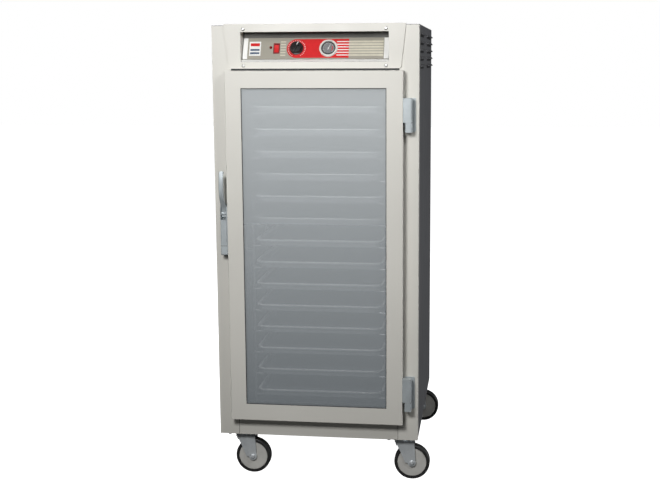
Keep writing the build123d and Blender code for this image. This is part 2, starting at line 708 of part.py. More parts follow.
def latch_body():
    """Edge-mounted latch case on the door, with the lever's pin."""
    case = block(LATCH_X, LATCH_Y, LATCH_Z)
    case = fillet(case.edges().group_by(Axis.Y)[0], 3.5)
    mount = block((LATCH_X[1], -DOOR_X), (LATCH_Y[0] + 1, LATCH_Y[1]), (LATCH_Z[0] + 8, LATCH_Z[1] - 8))
    wall = 3.0
    slot_x = (LATCH_X[0] + wall, LATCH_X[1] - wall)
    slot = block(slot_x, (LATCH_Y[0] - 1, LATCH_Y[1] - 8), (LEVER_PIVOT[1] - 22, LATCH_Z[1] + 1))
    groove = block((LATCH_X[0] - 1, LATCH_X[0] + 0.8), LATCH_Y, (LATCH_CAP_Z, LATCH_CAP_Z + 1.2))
    seam = block(LATCH_X, (LATCH_Y[0] - 1, LATCH_Y[0] + 0.8), (LATCH_CAP_Z, LATCH_CAP_Z + 1.2))
    magnet_pocket = block(slot_x, (LATCH_Y[1] - 6, LATCH_Y[1] + 1), (860, 950))
    pin = rod_x(LEVER_PIN_R, (LATCH_X[0] + 1, LATCH_X[1] - 1), *LEVER_PIVOT)
    return case + mount - slot - groove - seam - magnet_pocket + pin


def latch_strike():
    """Magnet strike on the left post, standing in the latch's rear pocket."""
    plate = block((-334, -309), (FRONT_Y - 2, FRONT_Y), (840, 970))
    plate = fillet(plate.edges().filter_by(Axis.Y), 4)
    return plate + block((-325, -312), (FRONT_Y - 9.5, FRONT_Y), (868, 942))


def latch_lever():
    """Bowed pull lever, hinged in the latch case."""
    y, z = LEVER_PIVOT
    x = (LATCH_X[0] + 3.5, LATCH_X[1] - 3.5)
    centre_line = Spline(
        (y, z - 12),
        (y - 1, z),
        (y - 8, z + 24),
        (y - 27, z + 56),
        (y - 35, z + 98),
        (y - 28, LEVER_TOP_Z),
    )
    path = Plane.YZ * centre_line
    start = path @ 0
    section = Plane(origin=start, x_dir=(1, 0, 0), z_dir=path % 0) * RectangleRounded(x[1] - x[0], 8, 3)
    blade = Pos((x[0] + x[1]) / 2, 0, 0) * sweep(section, path=path)
    boss = rod_x(7, x, y, z)
    bore = rod_x(LEVER_PIN_R + RUNNING, (x[0] - 1, x[1] + 1), y, z)
    return blade + boss - bore


# ---- Casters ----


def caster_plate(x, y):
    """Top plate, upper race and kingpin."""
    plate = Pos(x, y, CASTER_HEIGHT - PLATE_T / 2 - FIT / 2) * Box(92, 68, PLATE_T - FIT)
    plate = fillet(plate.edges().filter_by(Axis.Z), 8)
    race = rod_z(RACE_R, x, y, (RACE_Z[0] + 4, RACE_Z[1] + 1))
    pin = rod_z(KINGPIN_R, x, y, (FORK_TOP_Z - 8, RACE_Z[1]))
    nut = rod_z(8, x, y, (FORK_TOP_Z - 11, FORK_TOP_Z - FORK_T - FIT))
    return plate + race + pin + nut


def caster_plates():
    return [caster_plate(x, y) for y in CASTER_Y for x in (-CASTER_X, CASTER_X)]


def caster_bolts():
    """Hexagon heads under the corners of each caster plate."""
    pieces = []
    for y in CASTER_Y:
        for x in (-CASTER_X, CASTER_X):
            for dx in (-37, 37):
                for dy in (-26, 26):
                    head = extrude(RegularPolygon(6, 6), 4.5)
                    pieces.append(Pos(x + dx, y + dy, CASTER_HEIGHT - PLATE_T - 4.5) * head)
    return pieces


def prism_xz(points, y):
    """A plate in the XZ plane between two Y stations."""
    face = make_face(Plane.XZ * Polyline(*points, points[0]))
    return Pos(0, y[0], 0) * extrude(face, y[1] - y[0], dir=(0, 1, 0))


def fork_leg():
    """Near leg of a caster fork: a tapering flat with a facet bent inwards along its leading edge."""
    y = (-FORK_INSIDE - FORK_T, -FORK_INSIDE)
    axle_z = WHEEL_RADIUS
    bend_top = (19.0, FORK_TOP_Z)
    bend_low = (TRAIL - 13.0, axle_z - 3.0)
    flat = prism_xz([bend_top, (52.5, FORK_TOP_Z), (TRAIL + 14.0, axle_z), bend_low], y)
    flat = flat + rod_y(14, TRAIL, y, axle_z)
    facet = prism_xz([bend_top, bend_low, (TRAIL - 24.0, axle_z), (1.5, 106.0), (-17.0, FORK_TOP_Z)], y)
    bend = Axis((bend_top[0], y[0], bend_top[1]), (bend_low[0] - bend_top[0], 0, bend_low[1] - bend_top[1]))
    return flat + facet.rotate(bend, FORK_BEND)


def caster_fork(x, y):
    """Pressed fork with its lower race, two legs, nose web and axle bolt."""
    axle_z = WHEEL_RADIUS
    outside = FORK_INSIDE + FORK_T
    crown = block((-17, 52.5), (-outside, outside), (FORK_TOP_Z - FORK_T, FORK_TOP_Z))
    race = rod_z(RACE_R - 2, 0, 0, (FORK_TOP_Z, RACE_Z[0] + 4 - FIT))
    near = fork_leg()
    far = mirror(near, about=Plane.XZ)
    nose = [(-17.0, FORK_TOP_Z), (-12.0, 124.0), (-9.5, 124.0), (-14.0, FORK_TOP_Z)]
    nose = prism_xz(nose, (-FORK_INSIDE + 1, FORK_INSIDE - 1))
    axle = rod_y(AXLE_R, TRAIL, (-outside - 1, outside + 1), axle_z)
    head = rod_y(8.5, TRAIL, (-outside - 5, -outside), axle_z)
    head = fillet(head.edges().group_by(Axis.Y)[0], 4)
    nut = rod_y(8, TRAIL, (outside, outside + 7), axle_z)
    bore = rod_z(KINGPIN_R + RUNNING, 0, 0, (FORK_TOP_Z - 6, RACE_Z[0] + 6))
    fork = crown + race + near + far + nose + axle + head + nut - bore
    return Pos(x, y, 0) * fork


def caster_hub(x, y):
    """Dished plastic wheel centre."""
    half = WHEEL_WIDTH / 2
    disc = rod_y(HUB_R, x + TRAIL, (y - half + 1.5, y + half - 1.5), WHEEL_RADIUS)
    disc = fillet(disc.edges().filter_by(GeomType.CIRCLE), 2)
    boss = rod_y(15, x + TRAIL, (y - FORK_INSIDE + 0.4, y + FORK_INSIDE - 0.4), WHEEL_RADIUS)
    bore = rod_y(AXLE_R + RUNNING, x + TRAIL, (y - 30, y + 30), WHEEL_RADIUS)
    return disc + boss - bore


def caster_tyre(x, y):
    """Tread ring on the wheel centre."""
    half = WHEEL_WIDTH / 2
    tread = rod_y(WHEEL_RADIUS, x + TRAIL, (y - half, y + half), WHEEL_RADIUS)
    tread = fillet(tread.edges().filter_by(GeomType.CIRCLE), 5)
    return tread - rod_y(HUB_R, x + TRAIL, (y - 30, y + 30), WHEEL_RADIUS)


PARTS = {
    "base_frame": base_frame(),
    "side_panel_left": mirror_x(side_panel()),
    "side_panel_right": side_panel(),
    "back_panel": back_panel(),
    "power_inlet": power_inlet(),
    "top_panel": top_panel(),
    "front_posts": front_posts(),
    "front_sill": front_sill(),
    "door_header": door_header(),
    "control_rail": control_rail(),
    "insulation": insulation(),
    "liner_sides": liner_sides(),
    "liner_back": liner_back(),
    "liner_floor": liner_floor(),
    "module_deck": module_deck(),
    "air_baffle": air_baffle(),
    "heater_element": heater_element(),
    "blower_motor": blower_motor(),
    "blower_wheel": blower_wheel(),
    "slide_rack_right": Compound(children=slide_rack()),
    "slide_rack_left": Compound(children=[mirror_x(piece) for piece in slide_rack()]),
    "sheet_pans": Compound(children=sheet_pans()),
    "water_pan": water_pan(),
    "control_hood": control_hood(),
    "hood_screws": Compound(children=hood_screws()),
    "control_panel": control_panel(),
    "panel_brackets": Compound(children=panel_brackets()),
    "pilot_lamp": pilot_lamp(),
    "switch_bezel": switch_bezel(),
    "power_rocker": power_rocker(),
    "thermostat_body": thermostat_body(),
    "thermostat_knob": thermostat_knob(),
    "thermometer_case": thermometer_case(),
    "thermometer_needle": thermometer_needle(),
    "thermometer_lens": thermometer_lens(),
    "door_skin": door_skin(),
    "door_liner": door_liner(),
    "outer_glass": pane(OUTER_PANE_Y),
    "inner_glass": pane(INNER_PANE_Y),
    "glazing_gaskets": glazing_gaskets(),
    "door_gasket": door_gasket(),
    "hinge_frame_leaves": Compound(children=hinge_frame_leaves()),
    "hinge_door_leaves": Compound(children=hinge_door_leaves()),
    "latch_body": latch_body(),
    "latch_strike": latch_strike(),
    "latch_lever": latch_lever(),
    "caster_plates": Compound(children=caster_plates()),
    "caster_bolts": Compound(children=caster_bolts()),
}

for y_name, y_station in zip(("front", "rear"), CASTER_Y):
    for x_name, x_station in (("left", -CASTER_X), ("right", CASTER_X)):
        corner = f"{y_name}_{x_name}"
        PARTS[f"{corner}_fork"] = caster_fork(x_station, y_station)
        PARTS[f"{corner}_hub"] = caster_hub(x_station, y_station)
        PARTS[f"{corner}_tyre"] = caster_tyre(x_station, y_station)

for node, shape in PARTS.items():
    export_step(shape, f"parts/{node}.step")
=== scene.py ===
"""Looks of the proofing cabinet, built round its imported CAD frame. Metres, row frame."""

import json
import math

import bmesh
import bpy
from mathutils import Matrix, Vector


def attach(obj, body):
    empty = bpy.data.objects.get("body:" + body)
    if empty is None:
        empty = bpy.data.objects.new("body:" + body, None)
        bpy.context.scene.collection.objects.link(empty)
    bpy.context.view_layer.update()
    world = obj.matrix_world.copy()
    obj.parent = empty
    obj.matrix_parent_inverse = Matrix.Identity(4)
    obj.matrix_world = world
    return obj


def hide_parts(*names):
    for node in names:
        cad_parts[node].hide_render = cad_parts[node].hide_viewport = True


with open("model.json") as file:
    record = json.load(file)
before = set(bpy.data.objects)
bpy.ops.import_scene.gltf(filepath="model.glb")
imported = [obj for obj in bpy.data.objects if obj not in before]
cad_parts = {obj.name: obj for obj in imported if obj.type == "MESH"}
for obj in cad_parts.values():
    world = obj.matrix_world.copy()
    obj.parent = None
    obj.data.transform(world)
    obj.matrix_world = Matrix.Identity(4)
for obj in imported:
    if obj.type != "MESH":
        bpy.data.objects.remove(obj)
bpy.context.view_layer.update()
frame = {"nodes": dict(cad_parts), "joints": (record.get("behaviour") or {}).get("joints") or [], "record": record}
nodes = frame["nodes"]
joints = {joint["name"]: joint for joint in frame["joints"]}
scene = bpy.context.scene
scene.view_settings.view_transform = "Standard"

# ---- Places and sizes, in metres unless a comment says otherwise ----

# Camera at the photograph's viewpoint; its lens is in millimetres
CAMERA_PLACE = Vector((0.5919, -3.9801, 1.4840))
CAMERA_YAW = math.radians(6.97)
CAMERA_PITCH = math.radians(-8.16)
CAMERA_ROLL = math.radians(-0.22)
CAMERA_LENS = 58.09
CAMERA_SHIFT = (-0.0443, -0.0512)
CAMERA_REACH = 60

# Heights at which the pans' painted highlight and shade and the glass's painted light change
PAN_FOOT = 0.2868
PAN_PITCH = 0.0783
PAN_DEPTH = 0.0250
RIM_HIGHLIGHT_START = 0.55
GLASS_HEIGHT = (0.27, 1.40)

# The control panel's own axes: right, up its slope, and out of its face
PANEL_OUT = Vector(joints["thermostat_turn"]["axis"])
PANEL_RIGHT = Vector((1, 0, 0))
PANEL_UP = PANEL_OUT.cross(PANEL_RIGHT)
KNOB_CENTRE = Vector(joints["thermostat_turn"]["pos_m"])
PANEL_ORIGIN = Vector((0, KNOB_CENTRE.y, KNOB_CENTRE.z))
KNOB_X = KNOB_CENTRE.x
DIAL_X = joints["thermometer_turn"]["pos_m"][0]

# Printed panel graphics; stripe halves are in stripe pitches, angles in degrees
INK = 0.00015
FIELD_HALF = 0.0345
FIELD_END = 0.115
STRIPE_COUNT = 6
WHITE_STRIPES = (DIAL_X + 0.028, FIELD_END, 0.176)
CREAM_STRIPES = (FIELD_END, 0.233, 0.33)
SHORT_STRIPES = (-0.121, -0.103, 0.22)
KNOB_TICK_COUNT = 25
KNOB_TICK_START = -60
KNOB_TICK_SWEEP = 300
KNOB_TICK_RADII = (0.0275, 0.031)
KNOB_TICK_HALF = 1.6
CARD_EDGES = (-0.230, -0.190)
CARD_HALF = 0.026
BAND_EDGES = (-0.226, -0.194)
RED_BAND = (0.009, 0.020)
SLATE_BANDS = (-0.020, -0.008)
SLATE_BAND_HEIGHT = 0.007

# Thermometer dial, in its bowl
DIAL_FLOOR = 0.00145
DIAL_EDGE = 0.0245
DIAL_RING = 0.0185
DIAL_POINTS = 48
DIAL_TICK_COUNT = 28
DIAL_TICK_START = -45
DIAL_TICK_SWEEP = 270
DIAL_TICK_OUTER = 0.0205
LONG_TICK_INNER = 0.0165
SHORT_TICK_INNER = 0.0175
DIAL_TICK_HALF = 1.2
RED_ARC = (0.0125, 0.0150, -40, 35)

# Knob: each ring is its radius, its distance out of the panel and its flutes' depth
FLUTES = 20
FLUTE_STEPS = 6
KNOB_RINGS = (
    (0.0034, 0.0008, 0),
    (0.0232, 0.0008, 0),
    (0.0235, 0.0016, 0),
    (0.0235, 0.0048, 0),
    (0.0228, 0.0058, 0),
    (0.0210, 0.0062, 0),
    (0.0207, 0.0070, 0.0007),
    (0.0196, 0.0160, 0.0007),
    (0.0186, 0.0172, 0.0003),
    (0.0150, 0.0175, 0),
)
KNOB_TURN = math.radians(-28)
SHARP_ANGLE = math.radians(35)

# Grip bar: each layer is its scale in length and in width, and its distance out
GRIP_LENGTH = 0.0395
GRIP_WIDTH = 0.0095
GRIP_STEPS = 24
GRIP_LAYERS = (
    (1.0, 1.05, 0.0168),
    (1.0, 1.0, 0.0195),
    (0.985, 0.9, 0.0208),
    (0.95, 0.7, 0.0214),
)
POINTER_ENDS = (0.007, 0.0175)
POINTER_HALF = 0.0013
POINTER_OUT = (0.0210, 0.0217)

# Dark strips, from their low and high corners. The hood, recess, sill and louvre strips are painted shade;
# the hinge and cap strips lie on seams. The hinge strips' corners are from the pin's axis at each split,
# and the louvre strips' are from the side skin and each louvre's lower edge.
HOOD_STRIP = ((-0.289, -0.3795, 1.4535), (0.289, -0.3754, 1.4594))
RECESS_STRIP = ((-0.2515, -0.3356, 1.5632), (0.2515, -0.3351, 1.5826))
CAP_STRIP = ((-0.3299, -0.41285, 0.8483), (-0.3071, -0.3815, 0.8499))
SILL_STRIP_X = 0.2857
SILL_STRIP_HALF = 0.0006
SILL_STRIP_Y = (-0.3752, -0.3749)
SILL_STRIP_Z = (0.158, 0.222)
PIN_X, PIN_Y = joints["door_hinge"]["pos_m"][:2]
HINGE_SPLITS = (0.3065, 1.278)
HINGE_STRIP = ((-0.0117, -0.0117, -0.0006), (0.0123, 0.0117, 0.0009))
SIDE_X = 0.3556
LOUVRE_SPANS = ((-0.309, -0.131), (0.061, 0.319))
LOUVRE_TOP = 1.572
LOUVRE_PITCH = 0.027
LOUVRE_ROWS = 5
LOUVRE_STRIP_X = (-0.0002, 0.0003)
LOUVRE_STRIP_Z = (-0.007, 0.0005)

# Stage. Each light: name, place, target, size, power in watts, colour
LIGHTS = (
    ("key", (-0.35, -2.6, 2.1), (0.05, 0, 1.0), (0.6, 0.6), 45, (1, 1, 1)),
    ("front_low", (0.6, -4.5, 0.9), (0, 0, 0.5), (1.5, 1.0), 6.3, (1, 1, 1)),
    ("side_fill", (3.2, 0.8, 0.7), (0.36, 0.1, 0.65), (1.0, 1.6), 39, (0.97, 0.98, 1)),
    ("near_right", (1.3, -1.7, 2.6), (0.2, -0.4, 1.3), (0.5, 0.5), 14, (1, 1, 1)),
    ("rear_fill", (-2.6, 2.4, 2.3), (0, 0, 0.9), (1.2, 1.2), 60, (1, 1, 1)),
)
WORLD_STRENGTH = 0.02
FLOOR_GLOW = 1.15
FLOOR_SIZE = 20


def add_camera():
    """A camera turned a little left and down, level but for a slight roll."""
    forward = Vector(
        (
            -math.sin(CAMERA_YAW) * math.cos(CAMERA_PITCH),
            math.cos(CAMERA_YAW) * math.cos(CAMERA_PITCH),
            math.sin(CAMERA_PITCH),
        )
    )
    level = Vector((math.cos(CAMERA_YAW), math.sin(CAMERA_YAW), 0))
    upright = level.cross(forward)
    right = level * math.cos(CAMERA_ROLL) + upright * math.sin(CAMERA_ROLL)
    up = upright * math.cos(CAMERA_ROLL) - level * math.sin(CAMERA_ROLL)
    camera = bpy.data.objects.new("camera", bpy.data.cameras.new("camera"))
    scene.collection.objects.link(camera)
    turn = Matrix((right, up, -forward)).transposed().to_4x4()
    camera.matrix_world = Matrix.Translation(CAMERA_PLACE) @ turn
    camera.data.lens = CAMERA_LENS
    camera.data.shift_x, camera.data.shift_y = CAMERA_SHIFT
    camera.data.clip_end = CAMERA_REACH
    scene.camera = camera


add_camera()


# ---- Materials ----


class Material:
    """A Principled material with short helpers for procedural detail in object space."""

    def __init__(self, name, roughness=0.5, metallic=0.0, **sockets):
        self.data = bpy.data.materials.new(name)
        self.data.use_nodes = True
        self.tree = self.data.node_tree
        self.shader = self.tree.nodes["Principled BSDF"]
        self.shader.inputs["Roughness"].default_value = roughness
        self.shader.inputs["Metallic"].default_value = metallic
        for socket, value in sockets.items():
            self.shader.inputs[socket.replace("_", " ")].default_value = value
        self.place = self.node("ShaderNodeTexCoord").outputs["Object"]
        self.height = None

    def node(self, kind, **settings):
        node = self.tree.nodes.new(kind)
        for key, value in settings.items():
            setattr(node, key, value)
        return node

    def link(self, source, target):
        self.tree.links.new(source, target)

    def noise(self, scale, stretch=(1, 1, 1), detail=3.0, roughness=0.5):
        """A 0 to 1 noise over the object, stretched along its axes."""
        mapping = self.node("ShaderNodeMapping")
        mapping.inputs["Scale"].default_value = stretch
        self.link(self.place, mapping.inputs["Vector"])
        noise = self.node("ShaderNodeTexNoise")
        noise.inputs["Scale"].default_value = scale
        noise.inputs["Detail"].default_value = detail
        noise.inputs["Roughness"].default_value = roughness
        self.link(mapping.outputs["Vector"], noise.inputs["Vector"])
        return noise.outputs["Fac"]

    def span(self, source, low, high, start=0.3, end=0.7):
        """Maps a signal's start to end onto low to high, held at both ends."""
        ranged = self.node("ShaderNodeMapRange")
        ranged.inputs["From Min"].default_value = start
        ranged.inputs["From Max"].default_value = end
        ranged.inputs["To Min"].default_value = low
        ranged.inputs["To Max"].default_value = high
        self.link(source, ranged.inputs["Value"])
        return ranged.outputs["Result"]

    def colour(self, first, second, signal):
        """Base colour that drifts between two colours with a signal."""
        mix = self.node("ShaderNodeMix", data_type="RGBA")
        mix.inputs[6].default_value = (*first, 1)
        mix.inputs[7].default_value = (*second, 1)
        self.link(self.span(signal, 0, 1), mix.inputs["Factor"])
        self.link(mix.outputs[2], self.shader.inputs["Base Color"])
        return self

    def rough(self, signal, low, high):
        self.link(self.span(signal, low, high), self.shader.inputs["Roughness"])
        return self

    def bump(self, signal, distance):
        """Surface relief; further calls add to the earlier ones."""
        bump = self.node("ShaderNodeBump")
        bump.inputs["Distance"].default_value = distance
        bump.inputs["Strength"].default_value = 1.0
        self.link(signal, bump.inputs["Height"])
        if self.height is not None:
            self.link(self.height, bump.inputs["Normal"])
        self.height = bump.outputs["Normal"]
        self.link(self.height, self.shader.inputs["Normal"])
        return self


def tint(colour, factor):
    return tuple(channel * factor for channel in colour)


def painted(name, colour, roughness):
    """Powder coat: fine orange peel, slow patches of tone and gloss."""
    coat = Material(name, roughness)
    coat.colour(colour, tint(colour, 0.93), coat.noise(2.2, detail=4))
    coat.rough(coat.noise(14), roughness - 0.05, roughness + 0.07)
    coat.bump(coat.noise(900, detail=2), 0.00003)
    return coat.data


def brushed(name, colour, roughness, stretch, metallic=1.0):
    """Metal with a fine directional grain."""
    metal = Material(name, roughness, metallic=metallic)
    lines = metal.noise(60, stretch=stretch, detail=5, roughness=0.7)
    metal.colour(colour, tint(colour, 0.82), lines)
    metal.rough(lines, roughness - 0.07, roughness + 0.1)
    metal.bump(lines, 0.00002)
    return metal.data


def plastic(name, colour, roughness, texture=0.00004, **sockets):
    """Moulded plastic with a fine spark-eroded texture."""
    body = Material(name, roughness, **sockets)
    body.colour(colour, tint(colour, 0.8), body.noise(25, detail=4))
    body.rough(body.noise(120), roughness - 0.06, roughness + 0.08)
    body.bump(body.noise(1400, detail=2), texture)
    return body.data


def pan_sheet(name, wall_shade_colour, rim_highlight_colour):
    """Pan aluminium: painted shade on the walls, a painted highlight on the rims, by height at each pan.

    Its two tones are light and shade painted on one metal, so that the rims read through the haze.
    """
    metal = Material(name, 0.36, metallic=0.15)
    axes = metal.node("ShaderNodeSeparateXYZ")
    metal.link(metal.place, axes.inputs["Vector"])
    above = metal.node("ShaderNodeMath", operation="SUBTRACT")
    above.inputs[1].default_value = PAN_FOOT
    metal.link(axes.outputs["Z"], above.inputs[0])
    level = metal.node("ShaderNodeMath", operation="FLOORED_MODULO")
    level.inputs[1].default_value = PAN_PITCH
    metal.link(above.outputs[0], level.inputs[0])
    # Painted light by height in each pan: shade low on the walls, rising to a highlight at the rims.
    rim_highlight = metal.span(level.outputs[0], 0.3, 0.7, PAN_DEPTH * RIM_HIGHLIGHT_START, PAN_DEPTH)
    metal.colour(wall_shade_colour, rim_highlight_colour, rim_highlight)
    grain = metal.noise(60, stretch=(2, 30, 2), detail=5, roughness=0.7)
    metal.rough(grain, 0.3, 0.45)
    metal.bump(grain, 0.00002)
    return metal.data


def cast_zinc(name, colour, roughness):
    """Die-cast metal with a soft skin and faint handling marks."""
    metal = Material(name, roughness, metallic=0.3)
    metal.colour(colour, tint(colour, 0.85), metal.noise(30, detail=6))
    metal.rough(metal.noise(70, detail=5), roughness - 0.08, roughness + 0.12)
    metal.bump(metal.noise(500), 0.00003)
    return metal.data


def spangled(name, colour, roughness):
    """Zinc plate with pale crystal patches."""
    metal = Material(name, roughness, metallic=0.4)
    cells = metal.node("ShaderNodeTexVoronoi")
    cells.inputs["Scale"].default_value = 260
    metal.link(metal.place, cells.inputs["Vector"])
    metal.colour(colour, tint(colour, 0.93), cells.outputs["Distance"])
    metal.rough(metal.noise(60, detail=5), roughness - 0.08, roughness + 0.1)
    metal.bump(metal.noise(300), 0.00003)
    return metal.data


def hazy_glass(name, alpha, low, high):
    """Cavity glass with a bluish film of haze, painted paler from its foot to its head.

    The rise is painted light for the light in the cavity; the glass itself does not change.
    """
    pane = Material(name, 0.12, Alpha=alpha)
    axes = pane.node("ShaderNodeSeparateXYZ")
    pane.link(pane.place, axes.inputs["Vector"])
    # Painted light: the colour rises from shaded at the glass's foot to lit at its head.
    height = pane.span(axes.outputs["Z"], 0.3, 0.7, *GLASS_HEIGHT)
    pane.colour(low, high, height)
    pane.rough(pane.noise(5, detail=5), 0.08, 0.15)
    return pane.data


def lens_glass():
    """Clear plastic over the thermometer's dial."""
    lens = Material("lens_glass", 0.04, Alpha=0.04)
    lens.colour((0.42, 0.44, 0.46), (0.36, 0.38, 0.40), lens.noise(60))
    return lens.data


def rubber(name, colour, roughness):
    """Black rubber with a dusty patchiness."""
    body = Material(name, roughness)
    body.colour(colour, tint(colour, 1.7), body.noise(40, detail=5))
    body.bump(body.noise(700), 0.00005)
    return body.data


def wool(name):
    """Layered mineral wool."""
    body = Material(name, 0.95)
    layers = body.noise(60, stretch=(1, 1, 5), detail=8)
    body.colour((0.62, 0.50, 0.22), (0.75, 0.66, 0.40), layers)
    body.bump(body.noise(220, detail=6), 0.002)
    return body.data


def ink(name, colour):
    """A layer of printing ink."""
    layer = Material(name, 0.35)
    layer.colour(colour, tint(colour, 0.9), layer.noise(80, detail=4))
    layer.bump(layer.noise(600), 0.00001)
    return layer.data


# Glass tones: a bluish tint, shaded at the foot and lit at the head as painted light
GLASS_SHADED = (0.50, 0.55, 0.585)
GLASS_LIT = (0.92, 0.97, 0.99)
OUTER_HAZE = 0.31
INNER_HAZE = 0.12
PALE = (0.74, 0.725, 0.67)
# Pan tones of painted light: shade on the walls, highlight on the rims
PAN_WALL_SHADE = (0.42, 0.44, 0.46)
PAN_RIM_HIGHLIGHT = (0.95, 0.97, 0.98)
LINER = (0.34, 0.36, 0.38)
SWITCH_RED = (0.66, 0.012, 0.014)

MATERIALS = {
    "front_paint": painted("front_coat", PALE, 0.42),
    # Painted shade: the side skins are given the dark grey of sides standing in shade.
    "side_paint": painted("side_shaded_coat", (0.145, 0.147, 0.155), 0.42),
    "frame_steel": painted("chassis_coat", (0.16, 0.16, 0.165), 0.55),
    "liner_aluminium": brushed("liner_sheet", LINER, 0.42, (1, 1, 30), metallic=0.35),
    "pan_aluminium": pan_sheet("pan_sheet", PAN_WALL_SHADE, PAN_RIM_HIGHLIGHT),
    "wire_chrome": brushed("wire_plate", (0.62, 0.64, 0.66), 0.30, (3, 3, 3), metallic=0.5),
    "zinc": spangled("caster_zinc", (0.80, 0.84, 0.86), 0.38),
    "latch_metal": cast_zinc("cast_fittings", (0.53, 0.58, 0.60), 0.5),
    "screw_steel": brushed("screw_metal", (0.52, 0.52, 0.51), 0.34, (8, 8, 8)),
    "panel_face": painted("panel_coat", (0.36, 0.34, 0.285), 0.38),
    "bracket_white": painted("bracket_coat", (0.88, 0.88, 0.86), 0.4),
    "gasket_rubber": rubber("seal_rubber", (0.018, 0.019, 0.02), 0.6),
    "tread_rubber": rubber("tread_rubber", (0.022, 0.022, 0.022), 0.42),
    "wheel_plastic": plastic("wheel_core", (0.70, 0.69, 0.65), 0.45),
    "black_plastic": plastic("black_moulding", (0.012, 0.012, 0.013), 0.32),
    "red_plastic": plastic(
        "red_moulding", SWITCH_RED, 0.45, 0.00001, Specular_IOR_Level=0.15
    ),
    "needle_white": painted("pointer_white", (0.85, 0.85, 0.84), 0.4),
    "heater_steel": brushed("heater_sheath", (0.20, 0.17, 0.15), 0.5, (10, 10, 10)),
    "mineral_wool": wool("mineral_wool"),
    "clear_glass": hazy_glass("cavity_glass", OUTER_HAZE, GLASS_SHADED, GLASS_LIT),
}


def repaint(node, material):
    nodes[node].data.materials.clear()
    nodes[node].data.materials.append(material)


for subpart in frame["record"]["subparts"]:
    repaint(subpart["node"], MATERIALS[subpart["material_slot"]])

inner_glass = hazy_glass("inner_cavity_glass", INNER_HAZE, GLASS_SHADED, GLASS_LIT)
repaint("inner_glass", inner_glass)
repaint("switch_bezel", plastic("switch_frame", (0.22, 0.012, 0.014), 0.45))
repaint("thermometer_case", painted("bezel_coat", (0.74, 0.73, 0.69), 0.3))
repaint("pilot_lamp", plastic("lamp_lens", (0.25, 0.008, 0.01), 0.15, 0.00001))
repaint("thermometer_lens", lens_glass())

RED = ink("red_ink", (0.66, 0.012, 0.015))
CREAM = ink("cream_ink", (0.62, 0.59, 0.48))
WHITE = ink("white_ink", (0.86, 0.86, 0.84))
BLACK = ink("black_ink", (0.015, 0.015, 0.016))
GREY = ink("grey_ink", (0.20, 0.205, 0.21))
SLATE = ink("slate_ink", (0.09, 0.13, 0.20))


# ---- Mesh helpers ----


def add_object(name, mesh, body, material, smooth=False):
    """A piece of the visual model, riding on a body."""
    obj = bpy.data.objects.new(name, mesh)
    scene.collection.objects.link(obj)
    mesh.materials.append(material)
    if smooth:
        mesh.shade_smooth()
    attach(obj, body)
    return obj


def finish_mesh(name, builder):
    """A mesh from its builder, its faces turned outwards."""
    builder.normal_update()
    bmesh.ops.recalc_face_normals(builder, faces=builder.faces[:])
    mesh = bpy.data.meshes.new(name)
    builder.to_mesh(mesh)
    builder.free()
    return mesh


def add_slab(builder, top, low):
    """A closed slab between two rings of points, the top one first."""
    top = [builder.verts.new(point) for point in top]
    low = [builder.verts.new(point) for point in low]
    builder.faces.new(top)
    builder.faces.new(list(reversed(low)))
    for i in range(len(top)):
        j = (i + 1) % len(top)
        builder.faces.new((top[j], top[i], low[i], low[j]))


def loft(builder, rings):
    """A closed skin through rings of vertices, filled at both ends."""
    for low, high in zip(rings, rings[1:]):
        for i in range(len(low)):
            j = (i + 1) % len(low)
            builder.faces.new((low[i], low[j], high[j], high[i]))
    builder.faces.new(rings[-1])
    builder.faces.new(list(reversed(rings[0])))


def add_boxes(name, boxes, body, material):
    """Plain blocks from their low and high corners, as one object."""
    builder = bmesh.new()
    for low, high in boxes:
        middle = (Vector(low) + Vector(high)) / 2
        spread = Vector(high) - Vector(low)
        place = Matrix.Translation(middle) @ Matrix.Diagonal((*spread, 1))
        bmesh.ops.create_cube(builder, size=1, matrix=place)
    return add_object(name, finish_mesh(name, builder), body, material)


# ---- Control panel ----


def on_panel(x, up, out):
    """A point on the panel's own axes, in the row frame."""
    return PANEL_ORIGIN + PANEL_RIGHT * x + PANEL_UP * up + PANEL_OUT * out


def printed(name, outlines, out, material):
    """Thin ink layers on the panel: each outline is a list of (x, up) points."""
    builder = bmesh.new()
    for outline in outlines:
        top = [on_panel(x, up, out + INK) for x, up in outline]
        low = [on_panel(x, up, out) for x, up in outline]
        add_slab(builder, top, low)
    return add_object(name, finish_mesh(name, builder), "cabinet", material)


def bar(x0, x1, up0, up1):
    return [(x0, up0), (x1, up0), (x1, up1), (x0, up1)]


def stripes(x0, x1, half):
    """Level stripes, evenly up the red field; half is in stripe pitches."""
    pitch = 2 * FIELD_HALF / (STRIPE_COUNT + 1)
    middles = [-FIELD_HALF + (i + 1) * pitch for i in range(STRIPE_COUNT)]
    return [bar(x0, x1, up - pitch * half, up + pitch * half) for up in middles]


def arc(cx, cu, radius, start, end, steps=32):
    angles = [math.radians(start + (end - start) * i / steps) for i in range(steps + 1)]
    return [(cx + radius * math.cos(a), cu + radius * math.sin(a)) for a in angles]


def sector(cx, cu, inner, outer, start, end, steps=24):
    return arc(cx, cu, outer, start, end, steps) + arc(cx, cu, inner, end, start, steps)


def tick(x, inner, outer, angle, half):
    return sector(x, 0, inner, outer, angle - half, angle + half, 2)


